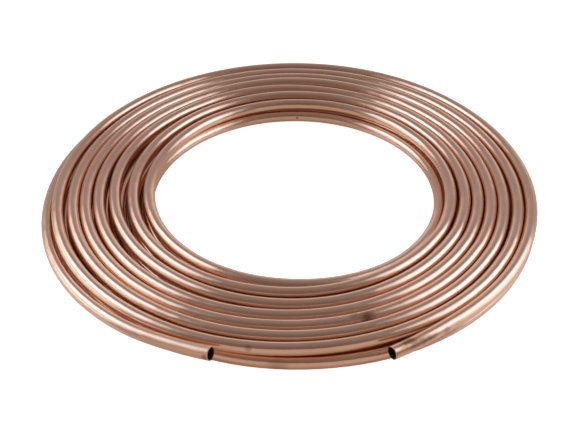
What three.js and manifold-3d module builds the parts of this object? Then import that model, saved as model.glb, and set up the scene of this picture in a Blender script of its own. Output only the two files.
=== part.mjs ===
// Copper tube coil: 60 ft of soft 1/2 in outside tube, wound flat in two layers.
// The tube starts at a cut end on the outside, winds inwards on the lower layer, climbs to the
// upper layer beside the eye and winds outwards again to its second cut end.
// Millimetres, +Z up. The coil lies flat, and its origin is the centre of its box, on the floor.

import * as THREE from 'three';
import { mergeVertices } from 'three/addons/utils/BufferGeometryUtils.js';
import Module from 'manifold-3d';

// Tube
const TUBE_OD = 12.7;
const TUBE_WALL = 0.89;
const TUBE_SIDES = 8; // a multiple of four, so that a flat side faces down and another up

// Winding. Radii and gaps are in tube diameters, the radii to the tube's centreline. Bearings are in
// degrees, anticlockwise from +X seen from above. The upper layer is measured by its clockwise
// travel, 0 where its first turn passes +X, and the lower layer by its anticlockwise travel, 0 where
// its first turn passes +X. Both go on from turn to turn, 360 degrees each.
const UPPER_START = -245;
const UPPER_END = 2231;
const LOWER_START = -10;
const LOWER_END = 2773.4;

// The upper layer's last turn by travel and radius, with its free end straightening outward
const UPPER_LAST_TURN = [
  [1770, 17.93], [1830, 18.26], [1860, 18.36], [1890, 18.53], [1920, 18.88], [1950, 19.14],
  [1980, 19.17], [2040, 19.31], [2090, 19.46], [2130, 19.33], [2180, 19.26], [2212, 19.35],
  [2218, 19.42], [2224, 19.62], [2231, 19.95],
];
const UPPER_TURN_STARTS = 1830;
const UPPER_PITCH = 1.005;
// Where an upper turn stands off the next one out: travel, reach each way, and the gap
const UPPER_SLACK = [
  [-220, 21, 0.28], [-150, 38, 0.40], [-89, 26, 0.32], [-45, 20, 0.09], [-14, 81, 0.12],
  [92, 38, 0.18], [194, 37, 0.56], [258, 16, 0.26], [421, 52, 0.05], [507, 36, 0.32],
  [586, 14, 0.10], [648, 14, 0.20], [685, 22, 0.10], [875, 33, 0.08], [1396, 10, 0.08],
  [1491, 63, 0.12], [1610, 50, 0.20], [1657, 16, 0.13], [1740, 45, 0.13], [1788, 20, 0.07],
];

// The lower layer's last two turns by travel and radius
const LOWER_LAST_TURNS = [
  [2053, 17.79], [2110, 18.02], [2160, 18.25], [2250, 18.50], [2340, 18.65], [2413, 18.81],
  [2440, 18.88], [2470, 19.09], [2520, 19.30], [2600, 19.74], [2640, 19.97], [2680, 20.12],
  [2745, 20.09], [2765, 19.85], [2773.4, 19.72],
];
const LOWER_TURN_STARTS = 2053;
const LOWER_PITCH = 1.02;
const LOWER_SLACK = [160, 65, 0.08]; // in every turn: bearing, reach each way, and the gap
const LOWER_END_ARC = 70; // the free end's rise to the upper layer's height

// The climb from the lower layer to the upper one, by bearing and radius
const CLIMB = [[245, 12.14], [270, 12.09], [300, 11.97], [330, 11.94], [350, 12.08]];
const LAYER_BEDDING = 0.2; // mm that the soft upper turns bed into the lower ones they cross

// Turned body that the turns are sunk into
const GROOVE_DEPTH = 3.4; // from the turns' crests to the body's face
const BODY_START = 0.45; // past the first turn's centreline, in tube diameters
const UPPER_BODY_TRAVEL = -180; // the upper half starts from the first turn's radius here
const BODY_SEGMENTS = 72;

const STEP_ARC = 9; // one straight facet of the winding
const BORED_STEPS = 2; // past these facets the tube is solid here
const TANGENT_ARC = 0.01;
const SLIVER = 0.02; // facets thinner than this are merged

const LOWER_HEIGHT = TUBE_OD / 2;
const UPPER_HEIGHT = TUBE_OD * 3 / 2 - LAYER_BEDDING;

// Angles along the whole tube run clockwise from the lower cut end
const CLIMB_FROM = LOWER_END - LOWER_START;
const CLIMB_TO = LOWER_END + 360 + UPPER_START;
const TUBE_ARC = LOWER_END + 360 + UPPER_END;

const smoothstep = THREE.MathUtils.smoothstep;

// A smooth curve through stations of place and value, and how steep it is at each of them
function slopeAt(stations, i) {
  const steepness = (a, b) => (b[1] - a[1]) / (b[0] - a[0]);
  if (i === 0) {
    return steepness(stations[0], stations[1]);
  }
  const before = steepness(stations[i - 1], stations[i]);
  if (i === stations.length - 1) {
    return before;
  }
  const after = steepness(stations[i], stations[i + 1]);
  const share = (stations[i][0] - stations[i - 1][0]) / (stations[i + 1][0] - stations[i - 1][0]);
  return before + share * (after - before);
}

// Past either end the curve goes on straight
function through(stations, place) {
  const last = stations.length - 1;
  const held = THREE.MathUtils.clamp(place, stations[0][0], stations[last][0]);
  const i = Math.max(stations.findIndex(([end]) => end >= held) - 1, 0);
  const [start, from] = stations[i];
  const [end, to] = stations[i + 1];
  const span = end - start;
  const t = (held - start) / span;
  const ease = t * t * (3 - 2 * t);
  const leaving = slopeAt(stations, i) * t * (1 - t) ** 2;
  const arriving = slopeAt(stations, i + 1) * t * t * (1 - t);
  const straight = (place - held) * slopeAt(stations, place > held ? last : 0);
  return from + ease * (to - from) + span * (leaving - arriving) + straight;
}

function bump(distance, reach) {
  return (1 - Math.min(Math.abs(distance) / (2 * reach), 1) ** 2) ** 2;
}

function bumps(places, travel) {
  return places.reduce((sum, [middle, reach, size]) => sum + size * bump(travel - middle, reach), 0);
}

// Each layer is wound from the outside in: a turn lies inside the next one by the pitch and a gap
function upperRadius(travel) {
  let place = travel;
  let inward = 0;
  while (place < UPPER_TURN_STARTS) {
    inward += UPPER_PITCH + bumps(UPPER_SLACK, place);
    place += 360;
  }
  return TUBE_OD * (through(UPPER_LAST_TURN, place) - inward);
}

function lowerRadius(travel) {
  const turnsIn = Math.max(Math.ceil((LOWER_TURN_STARTS - travel) / 360), 0);
  const slack = bumps([LOWER_SLACK], THREE.MathUtils.euclideanModulo(travel, 360));
  const last = through(LOWER_LAST_TURNS, travel + 360 * turnsIn);
  return TUBE_OD * (last - (LOWER_PITCH + slack) * turnsIn);
}

function radius(along) {
  if (along <= CLIMB_FROM) {
    return lowerRadius(LOWER_END - along);
  }
  if (along < CLIMB_TO) {
    return TUBE_OD * through(CLIMB, LOWER_END + 360 - along);
  }
  return upperRadius(along - LOWER_END - 360);
}

function height(along) {
  const climbed = smoothstep(along, CLIMB_FROM, CLIMB_TO);
  const sprung = 1 - smoothstep(along, 0, LOWER_END_ARC);
  return THREE.MathUtils.lerp(LOWER_HEIGHT, UPPER_HEIGHT, Math.max(climbed, sprung));
}

function centreAt(along) {
  const bearing = THREE.MathUtils.degToRad(LOWER_END - along);
  const r = radius(along);
  return new THREE.Vector3(r * Math.cos(bearing), r * Math.sin(bearing), height(along));
}

// The tube's centreline between two angles, in even steps of angle, with level cross-sections
class Winding extends THREE.Curve {
  constructor(from, to) {
    super();
    this.from = from;
    this.to = to;
  }

  alongAt(t) {
    return this.from + t * (this.to - this.from);
  }

  getPoint(t) {
    return centreAt(this.alongAt(t));
  }

  getTangent(t) {
    const along = this.alongAt(t);
    const before = centreAt(along - TANGENT_ARC);
    return centreAt(along + TANGENT_ARC).sub(before).normalize();
  }

  getPointAt(u) {
    return this.getPoint(u);
  }

  computeFrenetFrames(steps) {
    const frames = { tangents: [], normals: [], binormals: [] };
    for (let i = 0; i <= steps; i += 1) {
      const tangent = this.getTangent(i / steps);
      const side = tangent.clone().cross(new THREE.Vector3(0, 0, 1)).normalize();
      frames.tangents.push(tangent);
      frames.normals.push(side.clone().cross(tangent));
      frames.binormals.push(side);
    }
    return frames;
  }
}

const wasm = await Module();
wasm.setup();

function toSolid(geometry) {
  geometry.deleteAttribute('normal');
  geometry.deleteAttribute('uv');
  const merged = mergeVertices(geometry);
  const mesh = new wasm.Mesh({
    numProp: 3,
    vertProperties: new Float32Array(merged.attributes.position.array),
    triVerts: new Uint32Array(merged.index.array),
  });
  return new wasm.Manifold(mesh);
}

function toGeometry(solid) {
  const mesh = solid.getMesh();
  const indexed = new THREE.BufferGeometry();
  indexed.setAttribute('position', new THREE.BufferAttribute(mesh.vertProperties, 3));
  indexed.setIndex(new THREE.BufferAttribute(mesh.triVerts, 1));
  const geometry = indexed.toNonIndexed();
  geometry.computeVertexNormals();
  return geometry;
}

// The outer skin alone, which fills the small pockets sealed between turns that cross
function withoutPockets(solid) {
  const skins = solid.decompose();
  return skins.reduce((most, skin) => (skin.volume() > most.volume() ? skin : most));
}

// A regular polygon that stands flat side down, as far across its flats as the round it stands for
function section(acrossFlats) {
  const corner = acrossFlats / 2 / Math.cos(Math.PI / TUBE_SIDES);
  const shape = new THREE.Shape();
  for (let i = 0; i < TUBE_SIDES; i += 1) {
    const turn = (i + 0.5) * 2 * Math.PI / TUBE_SIDES;
    const move = i === 0 ? 'moveTo' : 'lineTo';
    shape[move](corner * Math.cos(turn), corner * Math.sin(turn));
  }
  shape.closePath();
  return shape;
}

const tubeSteps = Math.round(TUBE_ARC / STEP_ARC);
const stepArc = TUBE_ARC / tubeSteps;

function sweep(acrossFlats, firstStep, steps) {
  const from = firstStep * stepArc;
  const extrudePath = new Winding(from, from + steps * stepArc);
  return toSolid(new THREE.ExtrudeGeometry(section(acrossFlats), { steps, extrudePath }));
}

// The bore at a cut end starts one step outside it, so that the cut comes out open
function endBores() {
  const bore = TUBE_OD - 2 * TUBE_WALL;
  const lower = sweep(bore, -1, BORED_STEPS + 1);
  const upper = sweep(bore, tubeSteps - BORED_STEPS, BORED_STEPS + 1);
  return [lower, upper];
}

// The body is turned about the eye's axis. Each layer's half reaches from the first turn to the
// last one that goes all the way round, inside the tubes that it carries.
function turnedBody() {
  const lowerInner = lowerRadius(LOWER_START) + TUBE_OD * BODY_START;
  const upperInner = upperRadius(UPPER_BODY_TRAVEL) + TUBE_OD * BODY_START;
  const lowerOuter = lowerRadius(LOWER_END - 360);
  const upperOuter = upperRadius(UPPER_END - 360);
  const floor = GROOVE_DEPTH;
  const top = UPPER_HEIGHT + TUBE_OD / 2 - GROOVE_DEPTH;
  const profile = [
    [lowerInner, floor],
    [lowerOuter, floor],
    [lowerOuter, LOWER_HEIGHT],
    [upperOuter, UPPER_HEIGHT],
    [upperOuter, top],
    [upperInner, top],
    [upperInner, UPPER_HEIGHT],
    [lowerInner, LOWER_HEIGHT],
    [lowerInner, floor],
  ].map(([r, z]) => new THREE.Vector2(r, z));
  const turned = new THREE.LatheGeometry(profile, BODY_SEGMENTS);
  turned.rotateX(Math.PI / 2);
  return toSolid(turned);
}

const [lowerBore, upperBore] = endBores();
const climbEnd = Math.round(CLIMB_TO / stepArc);
const lowerLayer = sweep(TUBE_OD, 0, climbEnd + 1);
const upperLayer = sweep(TUBE_OD, climbEnd, tubeSteps - climbEnd);
const wound = turnedBody().add(lowerLayer).add(upperLayer);
const bored = wound.subtract(lowerBore).subtract(upperBore);
const solid = withoutPockets(bored.simplify(SLIVER));

const copper = new THREE.MeshStandardMaterial({
  color: 0xb87a5c,
  roughness: 0.28,
  metalness: 1,
});

const copperTube = new THREE.Mesh(toGeometry(solid), copper);
copperTube.name = 'copper_tube';

const box = new THREE.Box3().setFromObject(copperTube);
const centre = box.getCenter(new THREE.Vector3());
copperTube.position.set(-centre.x, -centre.y, -box.min.z);

const coil = new THREE.Group();
coil.add(copperTube);

export default coil;
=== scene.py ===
"""A flat coil of bright soft copper tube, wound in two layers and cut open at both ends."""

import math

import bpy
import numpy as np
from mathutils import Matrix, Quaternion, Vector


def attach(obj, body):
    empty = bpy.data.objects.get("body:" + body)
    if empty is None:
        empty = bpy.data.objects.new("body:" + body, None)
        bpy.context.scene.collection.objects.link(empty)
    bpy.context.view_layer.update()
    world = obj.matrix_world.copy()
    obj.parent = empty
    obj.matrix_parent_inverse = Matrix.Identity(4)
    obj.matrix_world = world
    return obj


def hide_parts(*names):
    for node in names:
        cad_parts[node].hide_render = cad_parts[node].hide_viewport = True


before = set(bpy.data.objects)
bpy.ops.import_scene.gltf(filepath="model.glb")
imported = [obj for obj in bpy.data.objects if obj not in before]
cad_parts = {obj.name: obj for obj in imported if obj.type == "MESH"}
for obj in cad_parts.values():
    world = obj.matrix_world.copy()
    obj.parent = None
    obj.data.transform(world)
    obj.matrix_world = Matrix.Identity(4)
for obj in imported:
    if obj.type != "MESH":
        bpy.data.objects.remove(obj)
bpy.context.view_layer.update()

# Tube, in metres
TUBE_OD = 0.0127
TUBE_WALL = 0.00089
TURN_GAP = 0.0003  # between turns that lie side by side
RIM_ROUND = 0.00016  # the edge that the tube cutter leaves
RIM_HOLD = 4 * RIM_ROUND  # from the cut to the loop that keeps the rim's shading off the tube
EYE_CENTRE = Vector((0.005525, -0.005831, 0.0))  # the winding's axis in the part's frame

# Mesh steps
RINGS_PER_TURN = 120
SIDES = 32
BORE_RING_STRIDE = 2

# Winding. Radii and heights are of the tube's centreline, in tube diameters. Bearings are in
# degrees anticlockwise from +X, seen from above. The upper layer is measured by its clockwise
# travel, 0 where its first turn passes +X. The lower layer is measured by its anticlockwise travel,
# 0 where its first turn passes +X. Both go on from turn to turn, 360 degrees each.
UPPER_START = -245.0
UPPER_END = 2231.3
LOWER_START = -10.0
LOWER_END = 2774.1
UPPER_HEIGHT = 1.5
LOWER_HEIGHT = 0.5

# The upper layer's last turn, with its free end straightening outward
UPPER_LAST_TURN = (
    (1770, 17.93), (1800, 18.12), (1830, 18.26), (1860, 18.36), (1890, 18.53), (1920, 18.88),
    (1950, 19.14), (1980, 19.17), (2010, 19.24), (2040, 19.31), (2070, 19.43), (2090, 19.46),
    (2110, 19.41), (2130, 19.33), (2160, 19.30), (2180, 19.26), (2196, 19.31), (2212, 19.35),
    (2218, 19.42), (2224, 19.62), (2231.3, 19.97),
)
UPPER_TURN_STARTS = 1830
UPPER_PITCH = 1.005
# Where an upper turn stands off the next one out: travel, half width, and the gap
UPPER_SLACK = (
    (-220, 21, 0.28), (-150, 38, 0.40), (-89, 26, 0.32), (-45, 20, 0.09), (-14, 81, 0.12),
    (92, 38, 0.17), (194, 37, 0.56), (258, 16, 0.26), (421, 52, 0.05), (507, 36, 0.32),
    (586, 14, 0.10), (648, 14, 0.20), (685, 22, 0.10), (740, 25, 0.04), (875, 33, 0.08),
    (1129, 20, 0.04), (1396, 10, 0.08), (1432, 19, 0.05), (1491, 63, 0.10), (1610, 50, 0.20),
    (1657, 16, 0.13), (1740, 45, 0.13), (1788, 20, 0.07),
)
# Where an upper turn rides up on the lower layer: travel, half width, and the rise
UPPER_RISE = ((990, 20, 0.16), (1350, 18, 0.05))
# The lower layer's last two turns, with its free end sprung out from under the upper layer
LOWER_LAST_TURNS = (
    (2053, 17.79), (2070, 17.83), (2110, 18.02), (2160, 18.25), (2250, 18.50), (2340, 18.65),
    (2380, 18.75), (2413, 18.81), (2440, 18.88), (2450, 18.97), (2470, 19.09), (2490, 19.18),
    (2520, 19.30), (2560, 19.50), (2600, 19.74), (2640, 19.97), (2680, 20.12), (2700, 20.10),
    (2720, 20.09), (2745, 20.09), (2755, 20.05), (2765, 19.85), (2774.1, 19.72),
)
LOWER_TURN_STARTS = 2053
LOWER_PITCH = 1.02
# Where each lower turn stands off the next one out: bearing, half width, and the gap
LOWER_SLACK = (160, 65, 0.08)
LOWER_END_RISE = 1.0  # the free end lifts off the floor over the last stretch
LOWER_END_TRAVEL = 70.0
# Near each cut the free end also springs out and up
SPRING_TRAVEL = 18.0
LOWER_SPRING_OUT = 0.54
LOWER_SPRING_UP = 0.55
UPPER_SPRING_OUT = 0.22
UPPER_SPRING_UP = 0.22
# The climb from the lower layer to the upper one: bearing and radius
CLIMB = ((245, 12.12), (255, 12.14), (270, 12.09), (300, 11.97), (330, 11.94), (350, 12.08))

# Copper. Colours are linear, and their last number is the opacity
CLEAN_COPPER = (0.94, 0.605, 0.43, 1)
DULL_COPPER = (0.88, 0.545, 0.37, 1)
HANDLED_COPPER = (0.93, 0.56, 0.37, 1)
STAIN_BROWN = (0.36, 0.175, 0.09, 1)
# The bore's colour is its tarnish, darkened to near black as painted shade in the hollow
BORE_TARNISH_AND_SHADE = (0.08, 0.05, 0.035, 1)
# Roughness of the clean copper, and what is added to it at each place
CLEAN_ROUGHNESS = 0.2
ROUGHER_DULL = 0.04
ROUGHER_STAIN = 0.05
ROUGHER_LOWER_END = 0.22
ROUGHER_BORE = 0.4
HANDLED_LENGTH = 0.12  # each free end is warmer over this length, and the lower one duller
# Noise over the drawn surface: how many to a metre across the tube and along it, and the detail
DRAW_LINES = (700, 9, 3.0)
WAVES = (55, 40, 1.0)
BLOTCHES = (260, 170, 4.0)
TARNISH = (45, 14, 3.0)
NOISE_MIDDLE = 0.5
# How far each noise swings the dullness, and what it swings about
TARNISH_SWING = 3.0
DRAW_LINES_SWING = 0.8
MEAN_DULLNESS = 0.35
WAVE_DEPTH = 0.0007
DRAW_LINE_DEPTH = 0.005  # as a share of the waves' depth
STAIN_RAGGEDNESS = 1.3  # how far the blotches push a stain's edge
# Stains on the tube. Place: bearing, radius and height in tube diameters. Then the reach along the
# turn and across it in tube diameters, where a stain has half faded, and how dark it is
STAINS = (
    (253.3, 20.71, 2.05, 0.20, 0.18, 0.9),
    (260.6, 19.01, 1.78, 0.20, 0.20, 0.6),
    (266.5, 19.30, 0.61, 0.60, 0.40, 0.4),
    (287.7, 16.55, 1.91, 0.50, 0.35, 1.0),
    (284.9, 16.40, 1.95, 0.40, 0.20, 0.5),
    (295.2, 20.14, 1.94, 1.90, 0.27, 1.0),
    (292.6, 19.88, 2.13, 0.55, 0.22, 0.9),
    (301.6, 19.90, 1.68, 0.25, 0.25, 0.5),
    (88.1, 11.66, 0.57, 0.10, 0.10, 1.0),
)

# Floor
FLOOR_SIZE = 8.0
FLOOR_CREAM = (0.89, 0.72, 0.56, 1)
FLOOR_ROUGHNESS = 0.25
FLOOR_IOR = 2.0
FLOOR_GLOW = 0.92  # to the camera
FLOOR_SHINE = 0.05  # in reflections
# The floor and the shade on it lie a hair below the coil, the shade on top
FLOOR_HEIGHT = -0.0004
SHADE_HEIGHT = -0.0002
SHADE_STEP = 3.0  # degrees
SHADE_TUCK = 0.75  # the shade draws in under the lower free end by this share of the end's lift

# Light
WALL_LIGHT = (0.75, 0.85, 0.95)
LAMP_LIGHT = (0.46, 0.97, 1.59)
LOW_LIGHT = (1.0, 0.98, 0.96)
CARD_LIGHT = (1.0, 0.86, 0.80)
# Upright panels of light round the coil: the shape, the bearing they stand at, the middle, the tilt,
# the width and height, the colour and the radiance
PANELS = (
    ("right_wall", "ELLIPSE", 0, (1.05, 0.05, 1.13), -14, 1.46, 2.10, WALL_LIGHT, 0.83),
    ("right_softbox", "RECTANGLE", 0, (1.04, 0.01, 0.76), -10, 0.92, 0.90, LAMP_LIGHT, 0.82),
    ("right_low", "RECTANGLE", 0, (1.04, -0.08, 0.11), 0, 0.90, 0.22, LOW_LIGHT, 0.90),
    ("left_wall", "ELLIPSE", 180, (-1.15, 0.31, 1.31), 20, 1.80, 2.68, WALL_LIGHT, 0.85),
    ("left_softbox", "ELLIPSE", 180, (-1.14, 0.26, 1.19), 0, 1.22, 1.30, LAMP_LIGHT, 0.88),
    ("left_low", "RECTANGLE", 180, (-1.14, 0.02, 0.10), 0, 1.00, 0.20, WALL_LIGHT, 0.64),
    ("front_card", "RECTANGLE", 270, (-0.15, -0.65, 0.14), 0, 1.30, 0.28, CARD_LIGHT, 0.37),
)
# The studio round it all: its colour in front and behind, and the least of its strength
STUDIO_FRONT = (0.99, 0.83, 0.82, 1)
STUDIO_BEHIND = (0.99, 0.98, 1.08, 1)
STUDIO_DIM = 0.156
# What is added to that strength at each place
BEHIND_LIGHT = 0.24
BACKDROP_LIGHT = 0.34
SIDE_LIGHT = 0.12
OVERHEAD_LIGHT = 0.045
# How sharply it gathers behind and overhead, as powers
BEHIND_POWER = 2.5
OVERHEAD_POWER = 8
# The backdrop stands low behind the coil and a little to the right, with soft edges. In a direction
# of unit length it grows from where x and y, times their slopes, pass the start, and it ends at the
# top, growing down from there
BACKDROP_SLOPES = (1.4, 9.0)
BACKDROP_START = 7.2
BACKDROP_TOP = 0.65
BACKDROP_TOP_SLOPE = 2.5

# Camera
LENS = 58.27
SENSOR = 36.0
CAMERA_FROM_EYE = Vector((-0.416, -62.117, 47.499)) * TUBE_OD
TARGET_FROM_EYE = Vector((-0.416, -3.608, 1.0)) * TUBE_OD


def through(stations, x):
    """A smooth curve through stations of (place, value)."""
    place, value = (np.array(column, float) for column in zip(*stations))
    slope = np.gradient(value, place)
    i = np.clip(np.searchsorted(place, x) - 1, 0, len(place) - 2)
    span = place[i + 1] - place[i]
    t = (x - place[i]) / span
    near = value[i] * (1 + 2 * t) * (1 - t) ** 2 + value[i + 1] * t * t * (3 - 2 * t)
    return near + span * (slope[i] * t * (1 - t) ** 2 - slope[i + 1] * t * t * (1 - t))


def smooth(t):
    """From 0 to 1 while t goes from 0 to 1, level at both ends."""
    t = np.clip(t, 0, 1)
    return t * t * (3 - 2 * t)


def swell(distance, half_width):
    """1 in the middle, just over half at the half width each way, and 0 at twice that."""
    return (1 - np.clip(abs(distance) / (2 * half_width), 0, 1) ** 2) ** 2


def sprung(travel, cut):
    """The share of a free end's spring: 0 where the spring starts, 1 at the cut."""
    return ((travel - cut) / SPRING_TRAVEL + 1).clip(0) ** 2


def upper_radius(travel):
    """The last turn is listed. Each turn inside it lies a pitch and any slack further in."""
    turns_in = np.ceil((UPPER_TURN_STARTS - travel) / 360).clip(0)
    radius = through(UPPER_LAST_TURN, travel + 360 * turns_in)
    for turn in range(int(turns_in.max())):
        place = travel + 360 * turn
        slack = sum(gap * swell(place - middle, width) for middle, width, gap in UPPER_SLACK)
        radius -= np.where(turn < turns_in, UPPER_PITCH + slack, 0)
    return radius + UPPER_SPRING_OUT * sprung(travel, UPPER_END)


def upper_height(travel):
    rise = sum(lift * swell(travel - middle, width) for middle, width, lift in UPPER_RISE)
    return UPPER_HEIGHT + rise + UPPER_SPRING_UP * sprung(travel, UPPER_END)


def lower_radius(travel):
    """The last two turns are listed. Each turn inside them lies further in, as above."""
    turns_in = np.ceil((LOWER_TURN_STARTS - travel) / 360).clip(0)
    middle, width, gap = LOWER_SLACK
    slack = gap * swell(travel % 360 - middle, width)
    radius = through(LOWER_LAST_TURNS, travel + 360 * turns_in) - (LOWER_PITCH + slack) * turns_in
    return radius + LOWER_SPRING_OUT * sprung(travel, LOWER_END)


def lower_height(travel):
    rise = LOWER_END_RISE * smooth((travel - LOWER_END) / LOWER_END_TRAVEL + 1)
    return LOWER_HEIGHT + rise + LOWER_SPRING_UP * sprung(travel, LOWER_END)


def winding():
    """The tube's centreline from the lower cut end to the upper one, as points in metres."""
    step = 360 / RINGS_PER_TURN
    lower = np.arange(LOWER_END, LOWER_START, -step)
    upper = np.arange(UPPER_END, UPPER_START, -step)[::-1]
    # The climb runs clockwise under the upper layer's first turn
    climb_from, climb_to = lower[-1], -upper[0] - 360
    climb = np.arange(climb_from - step, climb_to + step / 2, -step)
    share = (climb_from - climb) / (climb_from - climb_to)
    climb_height = LOWER_HEIGHT + (UPPER_HEIGHT - LOWER_HEIGHT) * smooth(share)
    bearing = np.radians(np.concatenate([lower, climb, -upper]))
    radius = np.concatenate([lower_radius(lower), through(CLIMB, climb + 360), upper_radius(upper)])
    height = np.concatenate([lower_height(lower), climb_height, upper_height(upper)])
    points = np.stack([radius * np.cos(bearing), radius * np.sin(bearing), height], 1) * TUBE_OD
    return points + np.array(EYE_CENTRE)


def cross_sections(points):
    """At each point of the centreline: the tangent, and the level and upright axes across it."""
    tangent = np.gradient(points, axis=0)
    tangent /= np.linalg.norm(tangent, axis=1, keepdims=True)
    level = np.cross(tangent, [0, 0, 1])
    level /= np.linalg.norm(level, axis=1, keepdims=True)
    return tangent, level, np.cross(level, tangent)


def skin_loops(last):
    """One closed skin over the rings 0 to last: along the outside, round the rim and back inside.

    Each loop is the ring it is on, how far along from that ring it lies, and its radius.
    """
    outer = (TUBE_OD - TURN_GAP) / 2
    bore = outer - TUBE_WALL
    # The three loops at an edge: how far inside the end each lies, and how far off the wall's face
    edge = ((0.0, RIM_ROUND), (RIM_ROUND, 0.0), (RIM_HOLD, 0.0))
    loops = [(0, inset, outer - off) for inset, off in edge]
    loops += [(ring, 0.0, outer) for ring in range(1, last)]
    loops += [(last, -inset, outer - off) for inset, off in reversed(edge)]
    loops += [(last, -inset, bore + off) for inset, off in edge]
    inside = range(BORE_RING_STRIDE, last, BORE_RING_STRIDE)
    loops += [(ring, 0.0, bore) for ring in reversed(inside)]
    loops += [(0, inset, bore + off) for inset, off in reversed(edge)]
    return loops


def skin_faces(loop_count):
    """The faces between each loop and the next, and between the last loop and the first."""
    faces = []
    for loop in range(loop_count):
        here = loop * SIDES
        there = (loop + 1) % loop_count * SIDES
        for side in range(SIDES):
            beside = (side + 1) % SIDES
            faces.append((here + side, here + beside, there + beside, there + side))
    return faces


def tube_mesh():
    """The wound tube and its length.

    The attribute "drawn" keeps each point's place in the straight tube: two across it, one along.
    """
    centre = winding()
    tangent, level, upright = cross_sections(centre)
    along = np.concatenate([[0], np.cumsum(np.linalg.norm(np.diff(centre, axis=0), axis=1))])
    turn = np.arange(SIDES) * 2 * math.pi / SIDES
    loops = skin_loops(len(centre) - 1)
    wound = []
    drawn = []
    for ring, beyond, radius in loops:
        x = np.cos(turn) * radius
        y = np.sin(turn) * radius
        wound.append(centre[ring] + beyond * tangent[ring]
                     + np.outer(x, level[ring]) + np.outer(y, upright[ring]))
        drawn.append(np.column_stack([x, y, np.full(SIDES, along[ring] + beyond)]))
    faces = skin_faces(len(loops))
    mesh = bpy.data.meshes.new("copper_tube_coil")
    mesh.from_pydata(np.concatenate(wound).tolist(), [], faces)
    mesh.polygons.foreach_set("use_smooth", [True] * len(faces))
    attribute = mesh.attributes.new("drawn", "FLOAT_VECTOR", "POINT")
    attribute.data.foreach_set("vector", np.concatenate(drawn).astype(np.float32).ravel())
    mesh.update()
    return mesh, float(along[-1])


class Value:
    """A number that varies over a surface. Arithmetic on it adds Math nodes."""

    def __init__(self, shader, socket):
        self.shader, self.socket = shader, socket

    def math(self, operation, *values):
        return self.shader.math(operation, *values)

    def __add__(self, other):
        return self.math("ADD", self, other)

    def __sub__(self, other):
        return self.math("SUBTRACT", self, other)

    def __rsub__(self, other):
        return self.math("SUBTRACT", other, self)

    def __mul__(self, other):
        return self.math("MULTIPLY", self, other)

    def __truediv__(self, other):
        return self.math("DIVIDE", self, other)

    def __pow__(self, other):
        return self.math("POWER", self, other)

    __radd__ = __add__
    __rmul__ = __mul__

    def clipped(self):
        return self.math("MAXIMUM", self.math("MINIMUM", self, 1.0), 0.0)


class Shader:
    """A node tree under construction."""

    def __init__(self, owner):
        owner.use_nodes = True
        self.tree = owner.node_tree
        self.tree.nodes.clear()

    def node(self, kind, settings=None, inputs=None):
        """Adds a node, and returns its outputs by name as values."""
        made = self.tree.nodes.new("ShaderNode" + kind)
        for name, setting in (settings or {}).items():
            setattr(made, name, setting)
        for name, value in (inputs or {}).items():
            socket = made.inputs[name]
            if isinstance(value, Value):
                self.tree.links.new(value.socket, socket)
            else:
                socket.default_value = value
        return {out.name: Value(self, out) for out in made.outputs if out.enabled}

    def split(self, vector):
        parts = self.node("SeparateXYZ", inputs={"Vector": vector})
        return parts["X"], parts["Y"], parts["Z"]

    def join(self, x, y, z):
        return self.node("CombineXYZ", inputs={"X": x, "Y": y, "Z": z})["Vector"]

    def math(self, operation, *values):
        return self.node("Math", {"operation": operation}, dict(enumerate(values)))["Value"]

    def noise(self, place, detail):
        return self.node("TexNoise", inputs={"Vector": place, "Scale": 1.0, "Detail": detail})["Fac"]

    def mix(self, share, first, second):
        return self.node("Mix", {"data_type": "RGBA"}, {0: share, 6: first, 7: second})["Result"]


def drawn_noise(shader, drawn, across, lengthwise, detail):
    """Noise that runs along the tube with its turns."""
    x, y, along = drawn
    return shader.noise(shader.join(x * across, y * across, along * lengthwise), detail)


def stain_share(shader, blotch):
    """How much of the surface's colour the stains take."""
    x, y, z = shader.split(shader.node("TexCoord")["Object"])
    x, y, z = ((place - middle) / TUBE_OD for place, middle in zip((x, y, z), EYE_CENTRE))
    radius = (x * x + y * y) ** 0.5
    bearing = shader.math("ARCTAN2", y, x)
    ragged = (blotch - NOISE_MIDDLE) * STAIN_RAGGEDNESS
    total = 0.0
    for degrees, distance, height, along, across, darkness in STAINS:
        # The surface's own bearing runs from -180 to 180 degrees
        middle = math.radians(degrees if degrees < 180 else degrees - 360)
        u = (bearing - middle) * (distance / along)
        v = (radius - distance) / across
        w = (z - height) / across
        inside = 1.0 - (u * u + v * v + w * w) * 0.5
        total = total + (inside + ragged).clipped() * darkness
    return total.clipped()


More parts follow.
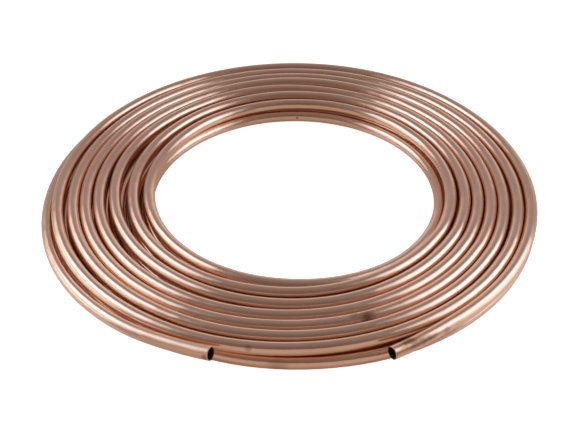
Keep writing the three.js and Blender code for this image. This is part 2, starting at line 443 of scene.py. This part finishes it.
def copper(length):
    """Bright drawn copper with draw lines, a few stains and handled ends. The bore is dull, and
    painted near black: its tarnish and painted shade.
    """
    material = bpy.data.materials.new("bright_copper")
    shader = Shader(material)
    drawn = shader.split(shader.node("Attribute", {"attribute_name": "drawn"})["Vector"])
    x, y, along = drawn
    lines = drawn_noise(shader, drawn, *DRAW_LINES)
    waves = drawn_noise(shader, drawn, *WAVES)
    blotch = drawn_noise(shader, drawn, *BLOTCHES)
    tarnish = drawn_noise(shader, drawn, *TARNISH)
    swing = (tarnish - NOISE_MIDDLE) * TARNISH_SWING + (lines - NOISE_MIDDLE) * DRAW_LINES_SWING
    dull = (swing + MEAN_DULLNESS).clipped()
    stain = stain_share(shader, blotch)
    lower_end = (1.0 - along / HANDLED_LENGTH).clipped()
    upper_end = (1.0 - (length - along) / HANDLED_LENGTH).clipped()
    # 0 on the outside and 1 in the bore, with a ramp through the inner half of the wall
    depth = TUBE_OD / 2 - (x * x + y * y) ** 0.5
    bore = (depth / (TUBE_WALL / 2) - 1.0).clipped()
    colour = shader.mix(dull, CLEAN_COPPER, DULL_COPPER)
    colour = shader.mix(lower_end + upper_end, colour, HANDLED_COPPER)
    colour = shader.mix(stain, colour, STAIN_BROWN)
    # Painted shade: the bore is coloured near black, over its own tarnish
    colour = shader.mix(bore, colour, BORE_TARNISH_AND_SHADE)
    roughness = (bore * ROUGHER_BORE + stain * ROUGHER_STAIN + lower_end * ROUGHER_LOWER_END
                 + dull * ROUGHER_DULL + CLEAN_ROUGHNESS)
    relief = shader.node("Bump", inputs={
        "Distance": WAVE_DEPTH, "Height": waves + lines * DRAW_LINE_DEPTH})
    metal = shader.node("BsdfPrincipled", inputs={
        "Base Color": colour, "Metallic": 1.0, "Roughness": roughness, "Normal": relief["Normal"]})
    shader.node("OutputMaterial", inputs={"Surface": metal["BSDF"]})
    return material


def make_tube():
    mesh, length = tube_mesh()
    mesh.materials.append(copper(length))
    tube = bpy.data.objects.new("copper_tube_coil", mesh)
    bpy.context.scene.collection.objects.link(tube)
    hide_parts("copper_tube")
    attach(tube, "root")


def floor_material(name, glow, shine):
    """Satin cream. It also glows white, by so much to the camera and so much in reflections."""
    material = bpy.data.materials.new(name)
    shader = Shader(material)
    ray = shader.node("LightPath")
    satin = shader.node("BsdfPrincipled", inputs={
        "Base Color": FLOOR_CREAM, "Roughness": FLOOR_ROUGHNESS, "IOR": FLOOR_IOR,
        "Specular IOR Level": 1.0})
    strength = ray["Is Camera Ray"] * glow + ray["Is Glossy Ray"] * shine
    white = shader.node("Emission", inputs={"Color": (1, 1, 1, 1), "Strength": strength})
    both = shader.node("AddShader", inputs={0: satin["BSDF"], 1: white["Emission"]})
    shader.node("OutputMaterial", inputs={"Surface": both["Shader"]})
    return material


def stage_piece(name, points, faces, material):
    mesh = bpy.data.meshes.new(name)
    mesh.from_pydata(points, [], faces)
    mesh.materials.append(material)
    piece = bpy.data.objects.new(name, mesh)
    bpy.context.scene.collection.objects.link(piece)
    return piece


def make_floor():
    half = FLOOR_SIZE / 2
    corners = [(-half, -half, 0), (half, -half, 0), (half, half, 0), (-half, half, 0)]
    white = floor_material("white_floor", FLOOR_GLOW, FLOOR_SHINE)
    floor = stage_piece("floor", corners, [(0, 1, 2, 3)], white)
    floor.location.z = FLOOR_HEIGHT


def make_shade():
    """The floor under the coil lies in its shade, from the innermost turn to the outermost one."""
    bearing = np.arange(0, 361, SHADE_STEP)
    last_turn = LOWER_END - (LOWER_END - bearing) % 360
    lifted = lower_height(last_turn) - LOWER_HEIGHT
    rim = []
    for radius in (lower_radius(bearing), lower_radius(last_turn) - SHADE_TUCK * lifted):
        rim += [EYE_CENTRE + Vector((r * math.cos(b), r * math.sin(b), 0)) * TUBE_OD
                for r, b in zip(radius, np.radians(bearing))]
    count = len(bearing)
    strip = [(i, i + count, i + count + 1, i + 1) for i in range(count - 1)]
    shade = stage_piece("shaded_floor", rim, strip, floor_material("shaded_floor", 0.0, 0.0))
    shade.location.z = SHADE_HEIGHT


def make_lights():
    for name, shape, bearing, middle, tilt, width, height, colour, radiance in PANELS:
        light = bpy.data.lights.new(name, "AREA")
        light.shape = shape
        light.size, light.size_y = width, height
        light.color = colour
        covered = 1 if shape == "RECTANGLE" else math.pi / 4
        light.energy = radiance * math.pi * width * height * covered
        lamp = bpy.data.objects.new(name, light)
        lamp.location = EYE_CENTRE + Vector(middle)
        away = Vector((math.cos(math.radians(bearing)), math.sin(math.radians(bearing)), 0))
        roll = Quaternion((0, 0, 1), math.radians(tilt))
        lamp.rotation_euler = (away.to_track_quat("Z", "Y") @ roll).to_euler()
        bpy.context.scene.collection.objects.link(lamp)


def make_world():
    """A dim studio, white to the camera.

    It is brighter at the sides, overhead and behind the coil, and most of all low down behind it.
    """
    world = bpy.data.worlds.new("studio")
    bpy.context.scene.world = world
    shader = Shader(world)
    x, y, z = shader.split(shader.node("TexCoord")["Generated"])
    behind = (y * 0.5 + 0.5) ** BEHIND_POWER
    x_slope, y_slope = BACKDROP_SLOPES
    backdrop = (y * y_slope + x * x_slope - BACKDROP_START).clipped()
    backdrop = backdrop * ((BACKDROP_TOP - z) * BACKDROP_TOP_SLOPE).clipped()
    sides = x * x
    overhead = z ** OVERHEAD_POWER
    strength = (behind * BEHIND_LIGHT + backdrop * BACKDROP_LIGHT + sides * SIDE_LIGHT
                + overhead * OVERHEAD_LIGHT + STUDIO_DIM)
    dim = shader.node("Background", inputs={
        "Color": shader.mix(behind, STUDIO_FRONT, STUDIO_BEHIND), "Strength": strength})
    white = shader.node("Background", inputs={"Color": (1, 1, 1, 1), "Strength": 1.0})
    seen = shader.node("LightPath")["Is Camera Ray"]
    both = shader.node("MixShader", inputs={0: seen, 1: dim["Background"], 2: white["Background"]})
    shader.node("OutputWorld", inputs={"Surface": both["Shader"]})


def make_camera():
    camera = bpy.data.cameras.new("camera")
    camera.sensor_fit = "HORIZONTAL"
    camera.sensor_width = SENSOR
    camera.lens = LENS
    eye = bpy.data.objects.new("camera", camera)
    eye.location = EYE_CENTRE + CAMERA_FROM_EYE
    aim = TARGET_FROM_EYE - CAMERA_FROM_EYE
    eye.rotation_euler = aim.to_track_quat("-Z", "Y").to_euler()
    bpy.context.scene.collection.objects.link(eye)
    bpy.context.scene.camera = eye


make_tube()
make_floor()
make_shade()
make_lights()
make_world()
make_camera()
bpy.context.scene.view_settings.view_transform = "Standard"
